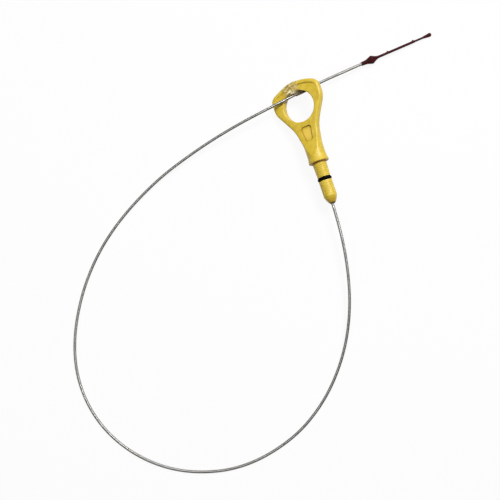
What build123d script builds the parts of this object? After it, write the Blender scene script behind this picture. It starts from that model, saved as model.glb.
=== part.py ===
from build123d import *
from math import cos, hypot, isclose, radians, sin, sqrt, tan
import os

# Engine oil dipstick: a moulded ring handle with a sealing plug, a flexible wound cable and a gauge tip.
# Millimetres. The origin is the middle of the collar's seating face, on the plug's axis. The plug points
# along -Y, the ring lies towards +Y and +Z is up. It lies as it comes to rest, with its cable in a loop.

# Pose: the ring leans on the cable that runs under its right side
ROLL_ANGLE = 27.0

# Ring and neck of the handle, in its own plane, with heights measured from the seat
RING_WIDTH = 40.0
RING_THICKNESS = 6.5
HOLE_DIAMETER = 24.4
HOLE_HEIGHT = 45.5
TOP_BAR = 6.9
CROWN_SLOPE = 23.0
CROWN_OFFSET = 1.4
CROWN_ARC_SHARE = 0.72
CORNER_RADIUS = 6.5
SIDE_LENGTH = 12.4
SHOULDER_RADIUS = 13.5
FLANK_ANGLE = 30.0
NECK_WIDTH = 15.0
NECK_RADIUS = 37.0
NECK_DEPTH = 18.0
SWELL_WEB = 2.3
NECK_ROUND_DIAMETER = 14.1
NECK_ROUND_HEIGHT = 11.0
NECK_FLARE_RADIUS = 38.0
NECK_EDGE_RADIUS = 1.2
EDGE_RADIUS = 1.7
HOLE_EDGE_RADIUS = 0.9

# What follows from these sizes
hole_top = HOLE_HEIGHT + HOLE_DIAMETER / 2
hole_foot = HOLE_HEIGHT - HOLE_DIAMETER / 2
ring_top = hole_top + TOP_BAR
swell_top = hole_foot - SWELL_WEB
crown_radius = CROWN_ARC_SHARE * (RING_WIDTH / 2 - CROWN_OFFSET) / sin(radians(CROWN_SLOPE))

# Sunk face below the raised rim of the crown, and the thumb pocket in the neck
RIM_WIDTH = 2.6
PANEL_DEPTH = 1.2
PANEL_HEIGHT = 11.6
POCKET_WEB = 4.1
POCKET_LENGTH = 12.0
POCKET_TOP_WIDTH = 9.2
POCKET_FOOT_WIDTH = 5.6
POCKET_TOP_RADIUS = 2.2
POCKET_FOOT_RADIUS = 2.4
POCKET_DEPTH = 1.1

# Collar and plug, with depths measured from the seat towards the nose
COLLAR_DIAMETER = 15.6
COLLAR_HEIGHT = 1.2
COLLAR_EDGE_RADIUS = 1.0
COLLAR_FLARE = 5.5
STEM_TOP_DIAMETER = 10.6
STEM_DIAMETER = 9.8
LAND_DIAMETER = 10.0
LAND_END = 26.6
NOSE_LENGTH = 5.9
NOSE_END_DIAMETER = 3.6
SEAL_DEPTH = 13.05
SEAL_SECTION = 2.7
SEAL_OUTER_DIAMETER = 10.9
SEAL_SIDE_PLAY = 0.1
SEAT_PLAY = 0.02
NOSE_PLAY = 0.2

# Cable and the sleeves crimped on its ends
CABLE_DIAMETER = 2.2
CABLE_START = 6.0
CABLE_TAIL = 10.0
CABLE_PLAY = 0.03
FERRULE_DIAMETER = 4.0
FERRULE_LENGTH = 5.0
FERRULE_OVERHANG = 0.5
TIP_FERRULE_DIAMETER = 3.2
TIP_FERRULE_LENGTH = 5.0

# Gauge tip, along its own axis from the end that the cable enters
TIP_LENGTH = 60.4
TIP_MOUTH_DIAMETER = 2.9
TIP_NECK_DIAMETER = 3.5
TIP_NECK_LENGTH = 4.4
SPINDLE_DIAMETER = 6.7
SPINDLE_PLACE = 9.0
SPINDLE_END = 13.2
SPINDLE_ROUNDINGS = (6.0, 2.0, 10.0)
BAR_DIAMETER = 1.95
BAR_END_DIAMETER = 1.55
BULB_DIAMETER = 3.1
BULB_TAPER = 6.3
MARK_PLACES = (22.8, 44.7)
MARK_RISE = 2.8
MARK_FALL = 1.7
MARK_HEIGHT = 0.6
MARK_THICKNESS = 1.4

# Film that ties the cable to the ring's top bar. At each place across the ring: how far its top stands over
# the crown's, and the corners of its lower side round the cable, as (height over the hole's top, depth)
TAPE_THICKNESS = 0.25
TAPE_PLAY = 0.25
TAPE_LOOPS = [
    (-9.0, -1.2, [(-3.9, 6.5), (-5.8, 5.3), (-5.1, 3.4), (-4.6, -3.5)]),
    (-2.7, 0.1, [(-0.5, 3.5), (-3.5, 1.6), (-4.0, -0.5), (-0.6, -3.5)]),
    (3.6, 0.25, [(-0.7, 3.5), (-1.3, 0.4), (-2.7, -4.7), (-0.8, -6.7)]),
]

# Route of the cable: out of the plug's nose, round the loop on the floor, over the ring's left limb,
# through the hole, under the ring's right side and into the gauge tip
LAID = -10.28
CABLE_ROUTE = [
    (0, -CABLE_START, 0),
    (0, -42, 0),
    (-4.1, -80.2, -1.9),
    (-13.3, -114.2, -4.9),
    (-29, -144.1, -8.0),
    (-52.3, -170.1, LAID),
    (-82.6, -188.6, LAID),
    (-123.3, -196.8, LAID),
    (-162.3, -187.9, LAID),
    (-192.2, -167.4, LAID),
    (-212.7, -137.9, LAID),
    (-220.2, -103.2, LAID),
    (-213.9, -67.9, LAID),
    (-193.5, -30, LAID),
    (-163.9, 0.8, -9.7),
    (-122.1, 25.7, -7.6),
    (-81.9, 39.2, -4.4),
    (-50.2, hole_top - 11.1, -0.9),
    (-16.4, hole_top - 5.6, 1.6),
    (15.4, hole_top + 1.5, -4.5),
    (44, hole_top + 5.1, -5.0),
    (65.8, hole_top + 7.8, -6.5),
]

# How close a point is to a place to count as on it, when edges are picked
NEAR = 0.01

ring_pose = Rot(0, -ROLL_ANGLE, 0)
cable_bore = CABLE_DIAMETER / 2 + CABLE_PLAY
seal_groove_radius = SEAL_OUTER_DIAMETER / 2 - SEAL_SECTION - SEAT_PLAY


def front_outline(inset=0.0):
    """The handle from the front, drawn in by an inset: neck, flared flanks, shoulders and lopsided crown."""
    half = RING_WIDTH / 2
    neck = NECK_WIDTH / 2
    flank = radians(FLANK_ANGLE)
    slope = radians(CROWN_SLOPE)
    raised = inset * tan(flank / 2)
    lowered = inset * tan(radians(90 - CROWN_SLOPE) / 2)
    apex = ring_top - crown_radius + crown_radius / cos(slope)
    limbs = []
    for side in (1, -1):
        corner = apex - (half - side * CROWN_OFFSET) * tan(slope)
        shoulder = corner - SIDE_LENGTH
        flank_foot = shoulder - (half - neck) / tan(flank)
        limb = [(neck, 0), (neck, flank_foot + raised), (half, shoulder + raised), (half, corner - lowered)]
        limbs.append([(side * (x - inset), y) for x, y in limb])
    right, left = limbs
    side_radii = [NECK_RADIUS + inset, SHOULDER_RADIUS - inset, CORNER_RADIUS - inset]
    radii = side_radii + [crown_radius - inset] + side_radii[::-1]
    top = (CROWN_OFFSET, apex - inset / cos(slope))
    outline = FilletPolyline(*right, top, *left[::-1], radius=radii)
    return make_face(outline + Line(left[0], right[0]))


def side_block(lowered=0.0):
    """The handle seen from the side, as a block: flat at the ring, swelling along an arc to the collar."""
    face = RING_THICKNESS / 2 - lowered
    foot = NECK_DEPTH / 2 - lowered
    end = ring_top + RING_THICKNESS
    swell = TangentArc((swell_top, face), (0, foot), tangent=(-1, 0))
    rest = Polyline((0, foot), (0, -foot))
    mirrored = TangentArc((swell_top, -face), (0, -foot), tangent=(-1, 0))
    ring = Polyline((swell_top, -face), (end, -face), (end, face), (swell_top, face))
    outline = make_face(swell + rest + mirrored + ring)
    return extrude(Plane.YZ * outline, amount=RING_WIDTH, both=True)


def neck_bell():
    """A turned bell that makes the collar, rounds the neck above it and opens clear of the ring."""
    radius = NECK_ROUND_DIAMETER / 2
    collar = COLLAR_DIAMETER / 2
    waist = COLLAR_HEIGHT + COLLAR_FLARE
    mouth = (radius + NECK_FLARE_RADIUS, NECK_ROUND_HEIGHT + NECK_FLARE_RADIUS)
    flare = TangentArc((radius, NECK_ROUND_HEIGHT), mouth, tangent=(0, 1))
    end = ring_top + mouth[1]
    middle = Polyline(mouth, (mouth[0], end), (0, end), (0, 0), (collar, 0), (collar, COLLAR_HEIGHT))
    skirt = TangentArc((radius, waist), (collar, COLLAR_HEIGHT), tangent=(0, -1))
    neck = Line((radius, waist), (radius, NECK_ROUND_HEIGHT))
    return revolve(make_face(flare + middle + skirt + neck), axis=Axis.Y)


def is_rim(edge):
    """Whether an edge of the blank runs round the front or back face's outline."""
    middle = edge.position_at(0.5)
    on_face = abs(middle.Z) > RING_THICKNESS / 4
    at_foot = middle.Y < NEAR
    across_face = abs(middle.Y - swell_top) < NEAR and abs(middle.X) < NECK_WIDTH / 4
    return on_face and not at_foot and not across_face


def is_neck_crease(edge):
    """Whether an edge lies where the turned bell cuts the neck's faces."""
    middle = edge.position_at(0.5)
    opened = max(middle.Y - NECK_ROUND_HEIGHT, 0)
    if edge.geom_type == GeomType.CIRCLE or not COLLAR_HEIGHT < middle.Y < swell_top:
        return False
    bell_radius = NECK_ROUND_DIAMETER / 2 + NECK_FLARE_RADIUS - sqrt(NECK_FLARE_RADIUS**2 - opened**2)
    return abs(hypot(middle.X, middle.Z) - bell_radius) < NEAR


def crown_panel():
    """The sunk face on the front of the ring's top bar, deepest at the rim and fading towards the limbs."""
    face = RING_THICKNESS / 2
    slope = PANEL_DEPTH / (PANEL_HEIGHT - RIM_WIDTH)
    low = face - slope * PANEL_HEIGHT
    above = face + PANEL_DEPTH
    foot = ring_top - PANEL_HEIGHT
    wedge = Polyline((foot, face), (ring_top, low), (ring_top, above), (foot, above), close=True)
    block = extrude(Plane.YZ * make_face(wedge), amount=RING_WIDTH, both=True)
    slanted = []
    for level in (PANEL_DEPTH, -2 * PANEL_DEPTH):
        slanted.append(Pos(0, 0, face + level) * front_outline(inset=RIM_WIDTH - level))
    return block & loft(slanted, ruled=True)


def thumb_pocket():
    """The sunk pocket in the neck's front face, with a floor that follows the face."""
    top = hole_foot - POCKET_WEB
    foot = top - POCKET_LENGTH
    wide = POCKET_TOP_WIDTH / 2
    narrow = POCKET_FOOT_WIDTH / 2
    corners = [(-wide, top), (wide, top), (narrow, foot), (-narrow, foot)]
    radii = [POCKET_TOP_RADIUS, POCKET_TOP_RADIUS, POCKET_FOOT_RADIUS, POCKET_FOOT_RADIUS]
    outline = make_face(FilletPolyline(*corners, radius=radii, close=True))
    return extrude(outline, amount=NECK_DEPTH) - side_block(lowered=POCKET_DEPTH)


def ring_and_neck():
    """The handle above the seat."""
    blank = extrude(front_outline(), amount=NECK_DEPTH, both=True) & side_block()
    blank = fillet(blank.edges().filter_by(is_rim), EDGE_RADIUS)
    hole = HOLE_DIAMETER / 2
    blank -= Pos(0, HOLE_HEIGHT, 0) * Cylinder(hole, 2 * NECK_DEPTH)
    hole_edges = blank.edges().filter_by(GeomType.CIRCLE).filter_by(lambda edge: isclose(edge.radius, hole))
    blank = fillet(hole_edges, HOLE_EDGE_RADIUS)
    for tool in (crown_panel(), thumb_pocket()):
        blank -= tool
        blank -= mirror(tool, about=Plane.XY)
    body = blank & neck_bell()
    return fillet(body.edges().filter_by(is_neck_crease), NECK_EDGE_RADIUS)


def plug():
    """The turned lower half: stem, seal groove, land and nose, with the stepped hole for the cable."""
    land = LAND_DIAMETER / 2
    nose = LAND_END + NOSE_LENGTH
    groove_half = SEAL_SECTION / 2 + SEAL_SIDE_PLAY
    groove_top = SEAL_DEPTH - groove_half
    groove_foot = SEAL_DEPTH + groove_half
    ferrule = FERRULE_DIAMETER / 2 + CABLE_PLAY
    ferrule_top = CABLE_START - FERRULE_OVERHANG
    nose_bore = CABLE_DIAMETER / 2 + NOSE_PLAY
    outside = Polyline(
        (0, 0), (STEM_TOP_DIAMETER / 2, 0), (STEM_DIAMETER / 2, -groove_top),
        (seal_groove_radius, -groove_top), (seal_groove_radius, -groove_foot),
        (land, -groove_foot), (land, -LAND_END))
    bullet = TangentArc((land, -LAND_END), (NOSE_END_DIAMETER / 2, -nose), tangent=(-0.3, -1))
    inside = Polyline(
        (NOSE_END_DIAMETER / 2, -nose), (nose_bore, -nose), (nose_bore, -ferrule_top - FERRULE_LENGTH),
        (ferrule, -ferrule_top - FERRULE_LENGTH), (ferrule, -ferrule_top), (0, -ferrule_top), (0, 0))
    return revolve(make_face(outside + bullet + inside), axis=Axis.Y)


def handle():
    """The whole yellow moulding, leaning as it lies."""
    upper = ring_and_neck()
    collar_edge = upper.edges().group_by(Axis.Y)[0]
    return ring_pose * (fillet(collar_edge, COLLAR_EDGE_RADIUS) + plug())


def o_ring():
    """The seal in the plug's groove."""
    centre_radius = (SEAL_OUTER_DIAMETER - SEAL_SECTION) / 2
    return Pos(0, -SEAL_DEPTH, 0) * Rot(90, 0, 0) * Torus(centre_radius, SEAL_SECTION / 2)


def crimp_sleeve(diameter, length):
    """A sleeve round the cable, centred on the origin along Z."""
    return Cylinder(diameter / 2, length) - Cylinder(cable_bore, length)


def handle_ferrule():
    """The sleeve on the cable's upper end, inside the plug."""
    middle = CABLE_START - FERRULE_OVERHANG + FERRULE_LENGTH / 2
    return Pos(0, -middle, 0) * Rot(90, 0, 0) * crimp_sleeve(FERRULE_DIAMETER, FERRULE_LENGTH)


def cable_path():
    """Straight runs joined by tangent arcs, each as large as its two runs allow."""
    points = [Vector(p) for p in CABLE_ROUTE]
    runs = [after - before for before, after in zip(points, points[1:])]
    radii = []
    for before, after in zip(runs, runs[1:]):
        half_turn = radians(before.get_angle(after) / 2)
        radii.append(0.45 * min(before.length, after.length) / tan(half_turn))
    print("cable radii:", [round(r, 1) for r in radii])
    return FilletPolyline(*points, radius=radii)


def cable():
    """The wound cable as one plain round tube along its route."""
    path = cable_path()
    section = Plane(origin=path @ 0, z_dir=path % 0) * Circle(CABLE_DIAMETER / 2)
    tube = sweep(section, path=path)
    print("cable length:", round(path.length, 1), "volume:", round(tube.volume, 1),
          "section times length:", round(section.area * path.length, 1))
    return tube


def tip_place():
    """The tip's frame: origin at its mouth on the cable, Z along it, X level to its marked side."""
    end = Vector(CABLE_ROUTE[-1])
    along = (end - Vector(CABLE_ROUTE[-2])).normalized()
    marked_side = Vector(0, 0, 1).cross(along)
    return Location(Plane(origin=end - along * CABLE_TAIL, x_dir=marked_side, z_dir=along))


def level_mark(place):
    """One wedge on the bar's side that marks an oil level."""
    root = (place - MARK_RISE, 0), (place, BAR_DIAMETER / 2 + MARK_HEIGHT), (place + MARK_FALL, 0)
    wedge = make_face(Polyline(*[(x, z) for z, x in root], close=True))
    return extrude(Plane.XZ * wedge, amount=MARK_THICKNESS / 2, both=True)


def gauge_tip():
    """The dark moulding on the cable's end: spindle, bar with two level marks, and bulb."""
    mouth = TIP_MOUTH_DIAMETER / 2
    bar = BAR_DIAMETER / 2
    bar_end = BAR_END_DIAMETER / 2
    bulb = BULB_DIAMETER / 2
    last_mark = MARK_PLACES[-1]
    bulb_place = TIP_LENGTH - bulb
    sleeve = TIP_FERRULE_DIAMETER / 2 + CABLE_PLAY
    sleeve_end = CABLE_TAIL + FERRULE_OVERHANG
    spindle = FilletPolyline(
        (mouth, 0), (TIP_NECK_DIAMETER / 2, TIP_NECK_LENGTH), (SPINDLE_DIAMETER / 2, SPINDLE_PLACE),
        (bar, SPINDLE_END), (bar, last_mark), radius=list(SPINDLE_ROUNDINGS))
    taper = Polyline(
        (bar, last_mark), (bar_end, last_mark + MARK_FALL), (bar_end, bulb_place - BULB_TAPER),
        (bulb, bulb_place))
    end = TangentArc((bulb, bulb_place), (0, TIP_LENGTH), tangent=(0, 1))
    sleeve_start = sleeve_end - TIP_FERRULE_LENGTH
    socket = Polyline(
        (0, TIP_LENGTH), (0, sleeve_end), (sleeve, sleeve_end), (sleeve, sleeve_start),
        (cable_bore, sleeve_start), (cable_bore, 0), (mouth, 0))
    turned = revolve(Plane.XZ * make_face(spindle + taper + end + socket), axis=Axis.Z)
    for place in MARK_PLACES:
        turned += level_mark(place)
    return tip_place() * turned


def tip_ferrule():
    """The sleeve on the cable's lower end, inside the spindle."""
    middle = CABLE_TAIL + FERRULE_OVERHANG - TIP_FERRULE_LENGTH / 2
    return tip_place() * Pos(0, 0, middle) * crimp_sleeve(TIP_FERRULE_DIAMETER, TIP_FERRULE_LENGTH)


def tape_tie():
    """The film pulled round the ring's top bar and the cable, from the limb's front to the bar's back."""
    face = RING_THICKNESS / 2 + TAPE_PLAY
    inside = []
    for place, rise, lower_corners in TAPE_LOOPS:
        top = ring_top + rise
        below = [(hole_top + height, depth) for height, depth in lower_corners]
        loop = Polyline((top, -face), (top, face), *below, close=True)
        inside.append(Plane(origin=(place, 0, 0), x_dir=(0, 1, 0), z_dir=(1, 0, 0)) * make_face(loop))
    outside = [offset(loop, amount=TAPE_THICKNESS, kind=Kind.INTERSECTION) for loop in inside]
    return ring_pose * (loft(outside, ruled=True) - loft(inside, ruled=True))


PIECES = {
    "handle": handle,
    "o_ring": o_ring,
    "handle_ferrule": handle_ferrule,
    "cable": cable,
    "gauge_tip": gauge_tip,
    "tip_ferrule": tip_ferrule,
    "tape_tie": tape_tie,
}

os.makedirs("parts", exist_ok=True)
for name, make in PIECES.items():
    export_step(make(), f"parts/{name}.step")
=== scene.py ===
from math import asin, cos, pi, radians, sin

import bpy
import numpy as np
from mathutils import Matrix, Vector, noise
from mathutils.bvhtree import BVHTree


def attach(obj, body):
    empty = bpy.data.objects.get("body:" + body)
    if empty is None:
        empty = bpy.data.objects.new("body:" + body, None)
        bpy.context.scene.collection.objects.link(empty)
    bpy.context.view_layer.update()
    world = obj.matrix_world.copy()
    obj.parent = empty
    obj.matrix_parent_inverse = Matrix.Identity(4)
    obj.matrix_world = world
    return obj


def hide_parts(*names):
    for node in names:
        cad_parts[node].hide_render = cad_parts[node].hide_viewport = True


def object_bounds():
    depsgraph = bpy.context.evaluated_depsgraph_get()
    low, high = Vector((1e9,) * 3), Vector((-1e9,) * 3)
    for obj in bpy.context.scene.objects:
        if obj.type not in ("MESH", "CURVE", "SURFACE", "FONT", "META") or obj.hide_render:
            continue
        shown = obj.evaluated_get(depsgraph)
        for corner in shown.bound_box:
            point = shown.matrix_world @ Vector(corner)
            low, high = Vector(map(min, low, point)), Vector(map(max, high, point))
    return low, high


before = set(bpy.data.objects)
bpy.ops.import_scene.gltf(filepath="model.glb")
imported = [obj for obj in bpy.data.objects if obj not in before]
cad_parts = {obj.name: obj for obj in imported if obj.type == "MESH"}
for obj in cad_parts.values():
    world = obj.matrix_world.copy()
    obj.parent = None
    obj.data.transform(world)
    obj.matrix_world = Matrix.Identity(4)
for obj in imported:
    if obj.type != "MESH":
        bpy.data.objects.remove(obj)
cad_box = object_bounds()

# Engine oil dipstick, lying on a pale floor. Metres, in the part's own frame: the plug points along -Y,
# the ring lies towards +Y, +Z is up and the origin is the middle of the collar's seat.

# View: turned from the part's axes, leaning from straight down, aimed at a point near the floor
VIEW_YAW = radians(17.87)
VIEW_LEAN = asin(0.139)
VIEW_DISTANCE = 0.75
VIEW_AIM = Vector((-0.06901, -0.04541, -0.01112))
VIEW_LENS = 72.0

# Lamps: place to the picture's right, up it and above the aim, size, and watts
KEY_LAMP = (0.40, 0.55, 1.0, 0.42, 13.0)
FILL_LAMP = (-0.3, 0.1, 1.1, 0.9, 5.2)
SURROUND_STRENGTH = 0.06

# Floor with a low wall far off, and the share of white in how they show
FLOOR = cad_box[0][2]
FLOOR_HALF = 20.0
WALL_HEIGHT = 4.0
FLOOR_GREY = 0.75
FLOOR_WHITE_SHARE = 0.92

# Handle: its lean, how far the painted shade and dirt reach out of creases, and the middle of the pocket's
# floor, where light is painted on, in the ring's own frame, with the distances over which that painted light
# fades
RING_ROLL = radians(27)
CREASE_REACH = 0.0021
POCKET_MIDDLE = (0.0, 0.0232, 0.0022)
POCKET_LIGHT_FADE = (0.0025, 0.0055)

# Heights on the plug between which its painted shade over the nose, painted shadow under the collar's seat,
# painted shade at the cable hole and turned rings come in or fade out, and the scale of those rings
NOSE_SHADE = (-0.0328, -0.0262)
SEAT_SHADE_TOP = (0.0007, 0.0001)
SEAT_SHADE_FOOT = (-0.0015, -0.0005)
HOLE_SHADE = (-0.0324, -0.0310)
STEM_RINGS_TOP = (-0.0005, -0.0015)
STEM_RINGS_FOOT = (-0.0116, -0.0106)
LAND_RINGS_TOP = (-0.0150, -0.0160)
LAND_RINGS_FOOT = (-0.0262, -0.0250)
PLUG_RINGS = 200.0

# Cable: LAID is the height of its middle where it lies on the floor
CABLE_DIAMETER = 0.0022
CABLE_PITCH = 0.00095
CABLE_GROOVE = 0.00008
GROOVE_SHARPNESS = 4
CABLE_SIDES = 10
RINGS_A_TURN = 10
ROUTE_STEPS = 128
LAID = -0.01028
CABLE_ROUTE = [
    (0, -0.006, 0),
    (0, -0.042, 0),
    (-0.0041, -0.0802, -0.0019),
    (-0.0133, -0.1142, -0.0049),
    (-0.0290, -0.1441, -0.0080),
    (-0.0523, -0.1701, LAID),
    (-0.0826, -0.1886, LAID),
    (-0.1233, -0.1968, LAID),
    (-0.1623, -0.1879, LAID),
    (-0.1922, -0.1674, LAID),
    (-0.2127, -0.1379, LAID),
    (-0.2202, -0.1032, LAID),
    (-0.2139, -0.0679, LAID),
    (-0.1935, -0.0300, LAID),
    (-0.1639, 0.0008, -0.0097),
    (-0.1221, 0.0257, -0.0076),
    (-0.0819, 0.0392, -0.0044),
    (-0.0502, 0.0466, -0.0009),
    (-0.0164, 0.0521, 0.0016),
    (0.0154, 0.0592, -0.0045),
    (0.0440, 0.0628, -0.0050),
    (0.0658, 0.0655, -0.0065),
]

# Film tie, in the ring's own frame: at each place across the ring, the corners of the film's loop
# as (height, depth), from the bar's back over its top and front and round the cable
TAPE_LOOPS = [
    (-0.0090, [(0.0634, -0.0035), (0.0634, 0.0035), (0.0538, 0.0065), (0.0519, 0.0053), (0.0526, 0.0034),
               (0.0531, -0.0035)]),
    (-0.0027, [(0.0647, -0.0035), (0.0647, 0.0035), (0.0572, 0.0035), (0.0542, 0.0016), (0.0537, -0.0005),
               (0.0571, -0.0035)]),
    (0.0036, [(0.06485, -0.0035), (0.06485, 0.0035), (0.0570, 0.0035), (0.0564, 0.0004), (0.0550, -0.0047),
              (0.0569, -0.0067)]),
]

# Film: steps of its mesh, rounding of the loop's corners, gap to what it wraps, the distance within
# which it hugs the handle, and thickness
TAPE_STATIONS = 24
TAPE_STEPS_ROUND = 240
TAPE_STEPS_ACROSS = 64
TAPE_ROUNDING = 0.0030
TAPE_GAP = 0.00008
TAPE_HUG = 0.0012
TAPE_FILM = 0.00004

# The band's ends: its right end reaches further, its left end slants in low down, and both are wavy,
# by noise on a circle in two layers
TAPE_SPREAD = 0.0020
TAPE_SLANT = 0.0070
SLANT_HEIGHT = 0.0570
SLANT_FADE = 0.0022
TAPE_WAVE = 0.0011
WAVE_CIRCLE = 2.2
WAVE_LAYERS = (3.0, 8.0)

# Crumples: depth, scale along the ring's axes, and ridged noise as (dimension, lacunarity, octaves,
# offset, gain)
TAPE_CRUMPLE = 0.00017
CRUMPLE_SCALE = (230, 480, 480)
CRUMPLE_NOISE = (0.9, 2.0, 3, 1.0, 2.0)

# Middle of the tie, and a reach that takes in all of it
TIE_PLACE = (0.0, 0.055, 0.0)
TIE_REACH = 0.03

# Gathered film: a slack sleeve on the cable under the bar, and how dark it and the band near it are, as
# painted shade
SLEEVE_REACH = (-0.0010, 0.0085)
SLEEVE_STEPS = 80
SLEEVE_SIDES = 48
SLEEVE_SLACK = 0.00025
SLEEVE_DARK = 0.95
BAND_DARK = 0.85
BAND_DARK_HEIGHT = 0.0582
BAND_DARK_DROP = 0.0012
BAND_DARK_LEFT = -0.0008
BAND_DARK_SPAN = 0.0024

# Shares of the band's width over which its left and right ends clear up, and how cloudy they stay
CLEAR_LEFT = 0.25
CLEAR_RIGHT = 0.45
CLEAR_LEAST = 0.08


def ring_point(across, height, depth):
    """A point of the leaning ring's own frame, in the part's frame."""
    return Vector((across * cos(RING_ROLL) - depth * sin(RING_ROLL), height,
                   across * sin(RING_ROLL) + depth * cos(RING_ROLL)))


def add_mesh(name, points, faces, smooth=True):
    """A mesh object from points and faces."""
    mesh = bpy.data.meshes.new(name)
    mesh.from_pydata([tuple(p) for p in points], [], faces)
    mesh.polygons.foreach_set("use_smooth", [smooth] * len(mesh.polygons))
    piece = bpy.data.objects.new(name, mesh)
    bpy.context.scene.collection.objects.link(piece)
    return piece


def give_values(piece, name, values):
    """A number for each of a mesh's points, for its material to read."""
    attribute = piece.data.attributes.new(name, "FLOAT", "POINT")
    attribute.data.foreach_set("value", np.ravel(values).astype(np.float32))


class Shader:
    """A node material with a principled shader, and short ways to add the nodes that drive it."""

    def __init__(self, name, **sockets):
        self.material = bpy.data.materials.new(name)
        self.material.use_nodes = True
        self.tree = self.material.node_tree
        self.surface = self.tree.nodes["Principled BSDF"]
        self.output = self.tree.nodes["Material Output"]
        for socket, value in sockets.items():
            self.surface.inputs[socket.replace("_", " ")].default_value = value

    def node(self, kind, **values):
        made = self.tree.nodes.new(kind)
        for key, value in values.items():
            setattr(made, key, value)
        return made

    def link(self, source, target):
        self.tree.links.new(source, target)

    def set(self, socket, source):
        """Drives one of the principled shader's sockets."""
        self.link(source, self.surface.inputs[socket])

    def place(self):
        """Coordinates in metres, in the part's frame."""
        return self.node("ShaderNodeTexCoord").outputs["Object"]

    def height(self):
        """Distance along the plug's axis, towards the ring."""
        made = self.node("ShaderNodeSeparateXYZ")
        self.link(self.place(), made.inputs[0])
        return made.outputs["Y"]

    def distance(self, point):
        """Distance from a point."""
        made = self.node("ShaderNodeVectorMath", operation="DISTANCE")
        self.link(self.place(), made.inputs[0])
        made.inputs[1].default_value = point
        return made.outputs["Value"]

    def values(self, name):
        """The numbers that a mesh carries under a name."""
        return self.node("ShaderNodeAttribute", attribute_name=name).outputs["Fac"]

    def noise(self, scale, detail=4.0, roughness=0.55, stretch=None, turn=0.0):
        """Noise with features about 1 / scale metres wide, longer by the stretch along turned axes."""
        made = self.node("ShaderNodeTexNoise")
        made.inputs["Scale"].default_value = scale
        made.inputs["Detail"].default_value = detail
        made.inputs["Roughness"].default_value = roughness
        source = self.place()
        if stretch:
            mapping = self.node("ShaderNodeMapping", vector_type="TEXTURE")
            mapping.inputs["Scale"].default_value = stretch
            mapping.inputs["Rotation"].default_value = (0.0, 0.0, turn)
            self.link(source, mapping.inputs["Vector"])
            source = mapping.outputs["Vector"]
        self.link(source, made.inputs["Vector"])
        return made.outputs["Fac"]

    def rings(self, scale, distortion):
        """Waves along the plug's axis, as left by turning."""
        made = self.node("ShaderNodeTexWave", bands_direction="Y")
        made.inputs["Scale"].default_value = scale
        made.inputs["Distortion"].default_value = distortion
        self.link(self.place(), made.inputs["Vector"])
        return made.outputs["Fac"]

    def ramp(self, factor, *stops):
        """Colours at places from 0 to 1."""
        made = self.node("ShaderNodeValToRGB")
        elements = made.color_ramp.elements
        while len(elements) < len(stops):
            elements.new(0.5)
        for element, (place, colour) in zip(elements, stops):
            element.position = place
            element.color = (*colour, 1.0)
        self.link(factor, made.inputs["Fac"])
        return made.outputs["Color"]

    def between(self, factor, low, high, start=0.3, end=0.7):
        """A value from low to high as the factor goes from start to end."""
        made = self.node("ShaderNodeMapRange")
        for socket, value in (("From Min", start), ("From Max", end), ("To Min", low), ("To Max", high)):
            made.inputs[socket].default_value = value
        self.link(factor, made.inputs["Value"])
        return made.outputs["Result"]

    def mix(self, factor, first, second):
        """The first colour, made by a node, where the factor is 0, and the second, written out, where 1."""
        made = self.node("ShaderNodeMix", data_type="RGBA")
        slots = [socket for socket in made.inputs if socket.type == "RGBA"]
        self.link(factor, made.inputs["Factor"])
        self.link(first, slots[0])
        slots[1].default_value = (*second, 1.0)
        return next(socket for socket in made.outputs if socket.type == "RGBA")

    def math(self, operation, first, second):
        """Two values put together by an operation."""
        made = self.node("ShaderNodeMath", operation=operation)
        self.link(first, made.inputs[0])
        self.link(second, made.inputs[1])
        return made.outputs[0]

    def product(self, first, second):
        return self.math("MULTIPLY", first, second)

    def larger(self, first, second):
        return self.math("MAXIMUM", first, second)

    def crevice(self, reach):
        """From 0 on open faces to 1 in creases, looking as far as the reach."""
        made = self.node("ShaderNodeAmbientOcclusion", samples=16, only_local=True)
        made.inputs["Distance"].default_value = reach
        return self.between(made.outputs["AO"], 1.0, 0.0, start=0.42, end=0.90)

    def bump(self, *layers):
        """Bumps laid over each other, each as (height, strength, metres)."""
        normal = None
        for height, strength, distance in layers:
            made = self.node("ShaderNodeBump")
            made.inputs["Strength"].default_value = strength
            made.inputs["Distance"].default_value = distance
            self.link(height, made.inputs["Height"])
            if normal:
                self.link(normal, made.inputs["Normal"])
            normal = made.outputs["Normal"]
        self.set("Normal", normal)


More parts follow.
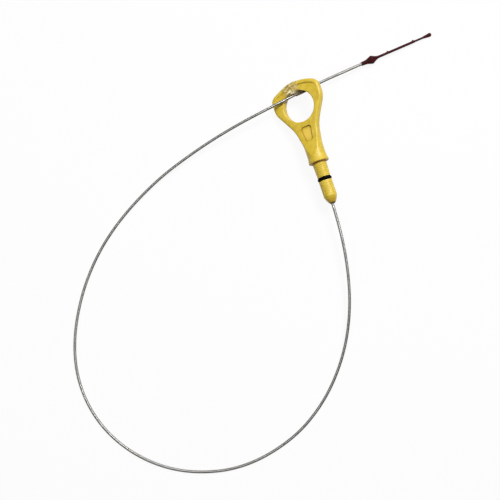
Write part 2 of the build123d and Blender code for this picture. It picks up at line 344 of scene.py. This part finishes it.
def yellow_plastic():
    """Mottled satin plastic with rings turned on the plug, painted light on the pocket's floor, painted shade
    and dirt in creases, and painted shade over the nose, under the collar's seat and at the cable hole.
    """
    shader = Shader("yellow_plastic", IOR=1.5)
    cloud = shader.ramp(shader.noise(260, detail=4, roughness=0.65), (0.3, (0.60, 0.41, 0.024)),
                        (0.5, (0.67, 0.48, 0.036)), (0.7, (0.74, 0.55, 0.06)))
    # Painted light: the pocket's floor is lightened towards its middle
    pocket_light = shader.between(shader.distance(ring_point(*POCKET_MIDDLE)), 0.9, 0.0, *POCKET_LIGHT_FADE)
    lit_pocket = shader.mix(pocket_light, cloud, (0.84, 0.59, 0.09))
    height = shader.height()
    # Painted shade over the nose cone and a painted shadow line under the collar's seat, joined with the
    # shade and dirt painted into creases
    nose = shader.between(height, 0.75, 0.0, *NOSE_SHADE)
    seat = shader.product(shader.between(height, 0.0, 0.9, *SEAT_SHADE_TOP),
                          shader.between(height, 0.0, 1.0, *SEAT_SHADE_FOOT))
    shade_and_grime = shader.larger(shader.crevice(CREASE_REACH), shader.larger(nose, seat))
    shaded_and_grimy = shader.mix(shade_and_grime, lit_pocket, (0.33, 0.155, 0.006))
    # Painted shade: near black at the nose's point, round the cable hole
    oil_and_shade = shader.between(height, 0.9, 0.0, *HOLE_SHADE)
    shader.set("Base Color", shader.mix(oil_and_shade, shaded_and_grimy, (0.03, 0.016, 0.004)))
    grain = shader.noise(2600, detail=2)
    shader.set("Roughness", shader.between(grain, 0.34, 0.50))
    stem = shader.product(shader.between(height, 0.0, 1.0, *STEM_RINGS_TOP),
                          shader.between(height, 0.0, 1.0, *STEM_RINGS_FOOT))
    land = shader.product(shader.between(height, 0.0, 0.5, *LAND_RINGS_TOP),
                          shader.between(height, 0.0, 1.0, *LAND_RINGS_FOOT))
    turned = shader.product(shader.rings(PLUG_RINGS, distortion=0.6), shader.larger(stem, land))
    shader.bump((grain, 0.12, 0.00006), (shader.noise(420, detail=2), 0.14, 0.0003), (turned, 0.7, 0.00026))
    return shader.material


def seal_rubber():
    """Black rubber with a faint bloom."""
    shader = Shader("seal_rubber", IOR=1.5, Specular_IOR_Level=0.05)
    bloom = shader.noise(900, detail=3)
    shader.set("Base Color", shader.ramp(bloom, (0.35, (0.001, 0.001, 0.001)), (0.75, (0.005, 0.004, 0.003))))
    shader.set("Roughness", shader.between(bloom, 0.50, 0.70))
    shader.bump((shader.noise(5200, detail=2), 0.15, 0.00004))
    return shader.material


def maroon_plastic():
    """Dark maroon satin plastic with flow streaks along the tip."""
    shader = Shader("maroon_plastic", IOR=1.5, Specular_IOR_Level=0.1)
    streak = shader.noise(500, detail=3, stretch=(4.0, 1.0, 1.0))
    shader.set("Base Color", shader.ramp(streak, (0.3, (0.026, 0.002, 0.003)), (0.55, (0.044, 0.003, 0.006)),
                                         (0.75, (0.075, 0.009, 0.012))))
    grain = shader.noise(3200, detail=2)
    shader.set("Roughness", shader.between(grain, 0.42, 0.58))
    shader.bump((grain, 0.12, 0.00005))
    return shader.material


def bare_metal():
    """Bare crimped metal with fine scratches."""
    shader = Shader("ferrule_metal", Metallic=1.0)
    scratch = shader.noise(1800, detail=4, stretch=(1.0, 8.0, 1.0))
    shader.set("Base Color", shader.ramp(scratch, (0.3, (0.40, 0.40, 0.41)), (0.7, (0.66, 0.66, 0.67))))
    shader.set("Roughness", shader.between(scratch, 0.28, 0.5))
    shader.bump((scratch, 0.1, 0.00003))
    return shader.material


def wound_steel():
    """Drawn wire with painted shade down between its turns, and dark in patches where old oily film lies."""
    shader = Shader("wound_steel", Metallic=1.0)
    # Painted shade: the colour goes to near black down in the groove between turns
    shade = shader.ramp(shader.values("groove"), (0.0, (0.34, 0.335, 0.32)), (0.3, (0.26, 0.255, 0.245)),
                        (1.0, (0.03, 0.028, 0.025)))
    oil_and_shade = shader.between(shader.noise(60, detail=4), 0.25, 0.0, start=0.35, end=0.6)
    shader.set("Base Color", shader.mix(oil_and_shade, shade, (0.14, 0.13, 0.11)))
    shader.set("Roughness", shader.between(shader.noise(2400, detail=3), 0.24, 0.34))
    return shader.material


def clear_film():
    """Clear crumpled film: milky on its creases and darker between them, with painted shade in dark brown
    where it is gathered under the bar.
    """
    shader = Shader("clear_film", IOR=1.48)
    crease = shader.noise(600, detail=3, stretch=(2.2, 1.0, 1.0), turn=radians(20))
    bunched_shade = shader.values("bunched_shade")
    tint = shader.ramp(crease, (0.32, (0.20, 0.13, 0.02)), (0.43, (0.58, 0.45, 0.13)),
                       (0.54, (0.82, 0.70, 0.36)), (0.66, (0.92, 0.85, 0.60)))
    # Painted shade: dark brown and dense where the film is gathered under the bar
    shader.set("Base Color", shader.mix(bunched_shade, tint, (0.070, 0.038, 0.008)))
    cover = shader.ramp(crease, (0.32, (0.65,) * 3), (0.42, (0.20,) * 3), (0.50, (0.30,) * 3),
                        (0.62, (0.85,) * 3))
    shader.set("Alpha", shader.product(shader.larger(cover, bunched_shade), shader.values("cloudy")))
    shader.set("Roughness", shader.between(shader.noise(2200, detail=3), 0.30, 0.50))
    shader.bump((crease, 0.2, 0.0002))
    return shader.material


def route_points():
    """Points along the cable's smooth line, read from a NURBS curve on its route."""
    curve = bpy.data.curves.new("route", "CURVE")
    curve.dimensions = "3D"
    spline = curve.splines.new("NURBS")
    spline.points.add(len(CABLE_ROUTE) - 1)
    for point, place in zip(spline.points, CABLE_ROUTE):
        point.co = (*place, 1.0)
    spline.order_u = 3
    spline.use_endpoint_u = True
    spline.resolution_u = ROUTE_STEPS
    holder = bpy.data.objects.new("route", curve)
    line = bpy.data.meshes.new_from_object(holder)
    points = np.array([vertex.co for vertex in line.vertices])
    bpy.data.objects.remove(holder)
    bpy.data.curves.remove(curve)
    bpy.data.meshes.remove(line)
    return points


def line_length(points):
    """The length of a line through points."""
    return np.linalg.norm(np.diff(points, axis=0), axis=1).sum()


def along(points, places):
    """The line's points and directions at distances along it."""
    steps = np.linalg.norm(np.diff(points, axis=0), axis=1)
    distance = np.concatenate([[0.0], np.cumsum(steps)])
    at = np.stack([np.interp(places, distance, points[:, k]) for k in range(3)], axis=1)
    ahead = np.gradient(at, axis=0)
    return at, ahead / np.linalg.norm(ahead, axis=1)[:, None]


def around(ahead):
    """Two directions square to a line at each of its points, without twist."""
    side = np.zeros_like(ahead)
    side[0] = np.cross(ahead[0], (0.0, 0.0, 1.0))
    for i in range(len(ahead)):
        before = side[max(i - 1, 0)]
        side[i] = before - ahead[i] * (before @ ahead[i])
        side[i] /= np.linalg.norm(side[i])
    return side, np.cross(ahead, side)


def tube_points(centres, ahead, radius):
    """Rings of points about a line, with a radius for each ring and angle."""
    side, lift = around(ahead)
    angles = np.arange(radius.shape[1]) * 2 * pi / radius.shape[1]
    out = np.cos(angles)[None, :, None] * side[:, None, :] + np.sin(angles)[None, :, None] * lift[:, None, :]
    return (centres[:, None, :] + radius[:, :, None] * out).reshape(-1, 3)


def ring_faces(rings, sides, first=0):
    """Faces between rings of points that follow each other, from the first point's number."""
    faces = []
    for i in range(rings - 1):
        a, b = first + i * sides, first + (i + 1) * sides
        faces += [(a + k, a + (k + 1) % sides, b + (k + 1) % sides, b + k) for k in range(sides)]
    return faces


def band_faces(rows, width):
    """Faces of a closed band: rows of points that follow each other, the last one joined to the first."""
    faces = []
    for i in range(rows - 1):
        a, b = i * width, (i + 1) * width
        faces += [(a + k, a + k + 1, b + k + 1, b + k) for k in range(width - 1)]
    last = (rows - 1) * width
    return faces + [(last + k, last + k + 1, k + 1, k) for k in range(width - 1)]


def make_cable():
    """The wound cable: a tube along the route with one helical groove between its turns."""
    line = route_points()
    length = line_length(line)
    count = int(length / CABLE_PITCH * RINGS_A_TURN)
    centres, ahead = along(line, np.linspace(0, length, count))
    turn = np.arange(count)[:, None] / RINGS_A_TURN - np.arange(CABLE_SIDES)[None, :] / CABLE_SIDES
    groove = np.abs(2 * (turn % 1.0) - 1) ** GROOVE_SHARPNESS
    points = tube_points(centres, ahead, CABLE_DIAMETER / 2 - CABLE_GROOVE * groove)
    faces = ring_faces(count, CABLE_SIDES)
    faces.append(tuple(reversed(range(CABLE_SIDES))))
    faces.append(tuple((count - 1) * CABLE_SIDES + k for k in range(CABLE_SIDES)))
    cable = add_mesh("wound_cable", points, faces)
    give_values(cable, "groove", groove)
    return cable, centres


def tape_loop(across):
    """The film loop's corners at a place across the ring, between the stated places."""
    places = [place for place, corners in TAPE_LOOPS]
    corners = np.array([corners for place, corners in TAPE_LOOPS])
    flat = corners.reshape(len(places), -1)
    return np.array([np.interp(across, places, flat[:, k]) for k in range(flat.shape[1])]).reshape(-1, 2)


def near_tie(line):
    """Which of a line's points lie near the tie."""
    return np.linalg.norm(line - np.array(TIE_PLACE), axis=1) < TIE_REACH


def clear_of_cable(points, line):
    """Points moved out of the cable, to just over its surface."""
    reach = CABLE_DIAMETER / 2 + TAPE_GAP
    moved = []
    for point in points:
        away = point - line
        apart = np.linalg.norm(away, axis=1)
        nearest = int(apart.argmin())
        short = max(reach - apart[nearest], 0.0)
        moved.append(point + away[nearest] / apart[nearest] * short)
    return np.array(moved)


def laid_on_handle(points):
    """Points near the handle drawn down onto it, and points inside it moved out, to just over its surface."""
    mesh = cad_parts["handle"].data
    tree = BVHTree.FromPolygons([vertex.co for vertex in mesh.vertices],
                                [face.vertices for face in mesh.polygons])
    moved = []
    for point in points:
        place, normal, _, _ = tree.find_nearest(Vector(point))
        height = max((Vector(point) - place).dot(normal), 0.0)
        if height < TAPE_HUG:
            moved.append(place + normal * (TAPE_GAP + height * (height / TAPE_HUG) ** 2))
        else:
            moved.append(Vector(point))
    return np.array(moved)


def rounded_loop(corners):
    """A loop through corners, evenly stepped and rounded, with the directions out of it."""
    closed = np.vstack([corners, corners[:1]])
    edge = np.concatenate([[0.0], np.cumsum(np.linalg.norm(np.diff(closed, axis=0), axis=1))])
    at = edge[-1] * np.arange(TAPE_STEPS_ROUND) / TAPE_STEPS_ROUND
    sharp = np.stack([np.interp(at, edge, closed[:, k]) for k in range(2)], axis=1)
    reach = round(TAPE_ROUNDING / 2 / at[1])
    loop = sum(np.roll(sharp, shift, axis=0) for shift in range(-reach, reach + 1)) / (2 * reach + 1)
    ahead = np.roll(loop, -1, axis=0) - np.roll(loop, 1, axis=0)
    out = np.stack([ahead[:, 1], -ahead[:, 0]], axis=1)
    out *= np.sign((out * (loop - loop.mean(axis=0))).sum())
    return loop, out / np.linalg.norm(out, axis=1)[:, None]


def film_band():
    """The band's points and the directions out of it: a loop round the bar and the cable, with wavy ends."""
    left, right = TAPE_LOOPS[0][0], TAPE_LOOPS[-1][0]
    stations = np.linspace(left, right, TAPE_STATIONS)
    loops, outs = zip(*(rounded_loop(tape_loop(across)) for across in stations))
    loops, outs = np.array(loops), np.array(outs)
    points, outward = [], []
    for i in range(TAPE_STEPS_ROUND):
        angle = 2 * pi * i / TAPE_STEPS_ROUND
        spots = [Vector((WAVE_CIRCLE * cos(angle), WAVE_CIRCLE * sin(angle), layer)) for layer in WAVE_LAYERS]
        wave = [TAPE_WAVE * noise.noise(spot) for spot in spots]
        low = np.clip((SLANT_HEIGHT - loops[:, i, 0].mean()) / SLANT_FADE, 0, 1)
        start = left + TAPE_WAVE + wave[0] + TAPE_SLANT * low
        end = right + TAPE_SPREAD + wave[1]
        for across in np.linspace(start, end, TAPE_STEPS_ACROSS + 1):
            flat = [np.interp(across, stations, loops[:, i, k]) for k in range(2)]
            out = [np.interp(across, stations, outs[:, i, k]) for k in range(2)]
            points.append(ring_point(across, *flat))
            outward.append(ring_point(0.0, *out))
    return np.array(points), np.array(outward)


def film_sleeve(cable_line):
    """The gathered film's points and the directions out of it: a slack sleeve on the cable under the bar."""
    across = cable_line @ np.array(ring_point(1.0, 0.0, 0.0))
    line = cable_line[near_tie(cable_line) & (across > SLEEVE_REACH[0]) & (across < SLEEVE_REACH[1])]
    centres, ahead = along(line, np.linspace(0, line_length(line), SLEEVE_STEPS))
    slack = SLEEVE_SLACK * np.sin(np.linspace(0, pi, SLEEVE_STEPS)) ** 0.5
    radius = np.repeat((CABLE_DIAMETER / 2 + TAPE_GAP + slack)[:, None], SLEEVE_SIDES, axis=1)
    points = tube_points(centres, ahead, radius)
    outward = points - np.repeat(centres, SLEEVE_SIDES, axis=0)
    return points, outward / np.linalg.norm(outward, axis=1)[:, None]


def make_tape(cable_line):
    """The film tie: a crumpled band pulled round the bar and the cable, with a dark sleeve on the cable; the
    sleeve and the band's underside near it carry painted shade.
    """
    band, band_out = film_band()
    band = laid_on_handle(clear_of_cable(band, cable_line[near_tie(cable_line)]))
    sleeve, sleeve_out = film_sleeve(cable_line)
    points, outward = np.vstack([band, sleeve]), np.vstack([band_out, sleeve_out])
    spots = points @ np.array([ring_point(*row) for row in np.diag(CRUMPLE_SCALE)]).T
    heights = np.array([noise.ridged_multi_fractal(Vector(spot), *CRUMPLE_NOISE) for spot in spots])
    points = points + outward * heights[:, None] * TAPE_CRUMPLE
    points[len(band):] = laid_on_handle(points[len(band):])
    width = TAPE_STEPS_ACROSS + 1
    faces = band_faces(TAPE_STEPS_ROUND, width) + ring_faces(SLEEVE_STEPS, SLEEVE_SIDES, first=len(band))
    tape = add_mesh("film_tie", points, faces)
    # Painted shade: the band's underside near the sleeve, and the sleeve, are marked dark for the shade under
    # the bar
    low = np.clip((BAND_DARK_HEIGHT - band[:, 1]) / BAND_DARK_DROP, 0, 1)
    under = low * np.clip((band[:, 0] - BAND_DARK_LEFT) / BAND_DARK_SPAN, 0, 1)
    give_values(tape, "bunched_shade", np.concatenate([BAND_DARK * under, np.full(len(sleeve), SLEEVE_DARK)]))
    across = np.linspace(0.0, 1.0, width)
    ends = np.clip(np.minimum(across / CLEAR_LEFT, (1 - across) / CLEAR_RIGHT), CLEAR_LEAST, 1.0)
    give_values(tape, "cloudy", np.concatenate([np.tile(ends, TAPE_STEPS_ROUND), np.ones(len(sleeve))]))
    thick = tape.modifiers.new("film", "SOLIDIFY")
    thick.thickness = TAPE_FILM
    return tape


def coat(piece, material):
    """Puts one material on a piece, in place of what it had."""
    piece.data.materials.clear()
    piece.data.materials.append(material)


def make_floor():
    """A pale floor with a low wall far off, which show as white and keep the part's shadow."""
    low = [(x * FLOOR_HALF, y * FLOOR_HALF, FLOOR) for x, y in ((-1, -1), (1, -1), (1, 1), (-1, 1))]
    high = [(x, y, FLOOR + WALL_HEIGHT) for x, y, _ in low]
    walls = [(k + 4, (k + 1) % 4 + 4, (k + 1) % 4, k) for k in range(4)]
    floor = add_mesh("floor", low + high, [(0, 1, 2, 3), *walls], smooth=False)
    shader = Shader("floor", Base_Color=(FLOOR_GREY, FLOOR_GREY, FLOOR_GREY, 1.0), Roughness=0.9)
    path = shader.node("ShaderNodeLightPath").outputs
    seen = shader.larger(path["Is Camera Ray"], path["Is Glossy Ray"])
    shown = shader.larger(seen, path["Is Transmission Ray"])
    share = shader.between(shown, 0.0, FLOOR_WHITE_SHARE, start=0.0, end=1.0)
    white = shader.node("ShaderNodeEmission")
    white.inputs["Strength"].default_value = 1.0
    mix = shader.node("ShaderNodeMixShader")
    shader.link(share, mix.inputs["Fac"])
    shader.link(shader.surface.outputs["BSDF"], mix.inputs[1])
    shader.link(white.outputs["Emission"], mix.inputs[2])
    shader.link(mix.outputs["Shader"], shader.output.inputs["Surface"])
    coat(floor, shader.material)


def image_direction(right, up, above):
    """A direction given by the picture's right and up and the height over the floor, in the part's frame."""
    return Vector((right * cos(VIEW_YAW) + up * sin(VIEW_YAW), up * cos(VIEW_YAW) - right * sin(VIEW_YAW),
                   above))


def add_lamp(name, right, up, above, size, power):
    """A soft square lamp that looks at the part from a place given as the picture shows it."""
    lamp = bpy.data.lights.new(name, "AREA")
    lamp.size = size
    lamp.energy = power
    holder = bpy.data.objects.new(name, lamp)
    offset = image_direction(right, up, above)
    holder.location = VIEW_AIM + offset
    holder.rotation_euler = offset.to_track_quat("Z", "Y").to_euler()
    bpy.context.scene.collection.objects.link(holder)


def make_light():
    """A soft light from the picture's upper right, a weaker one overhead and a dim even surround."""
    add_lamp("key", *KEY_LAMP)
    add_lamp("fill", *FILL_LAMP)
    world = bpy.data.worlds.new("surround")
    world.use_nodes = True
    background = world.node_tree.nodes["Background"]
    background.inputs["Color"].default_value = (1.0, 1.0, 1.0, 1.0)
    background.inputs["Strength"].default_value = SURROUND_STRENGTH
    bpy.context.scene.world = world


def make_camera():
    """The photograph's view."""
    camera = bpy.data.cameras.new("camera")
    camera.lens = VIEW_LENS
    holder = bpy.data.objects.new("camera", camera)
    towards = image_direction(0.0, -sin(VIEW_LEAN), cos(VIEW_LEAN))
    right = image_direction(1.0, 0.0, 0.0)
    up = towards.cross(right)
    turn = Matrix((right, up, towards)).transposed().to_4x4()
    holder.matrix_world = Matrix.Translation(VIEW_AIM + towards * VIEW_DISTANCE) @ turn
    bpy.context.scene.collection.objects.link(holder)
    bpy.context.scene.camera = holder


make_camera()
make_light()
make_floor()

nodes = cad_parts
coat(nodes["handle"], yellow_plastic())
coat(nodes["o_ring"], seal_rubber())
coat(nodes["gauge_tip"], maroon_plastic())
ferrule_metal = bare_metal()
coat(nodes["handle_ferrule"], ferrule_metal)
coat(nodes["tip_ferrule"], ferrule_metal)

cable, cable_line = make_cable()
coat(cable, wound_steel())
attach(cable, "root")
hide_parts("cable")

tape = make_tape(cable_line)
coat(tape, clear_film())
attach(tape, "root")
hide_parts("tape_tie")

bpy.context.scene.view_settings.view_transform = "Standard"
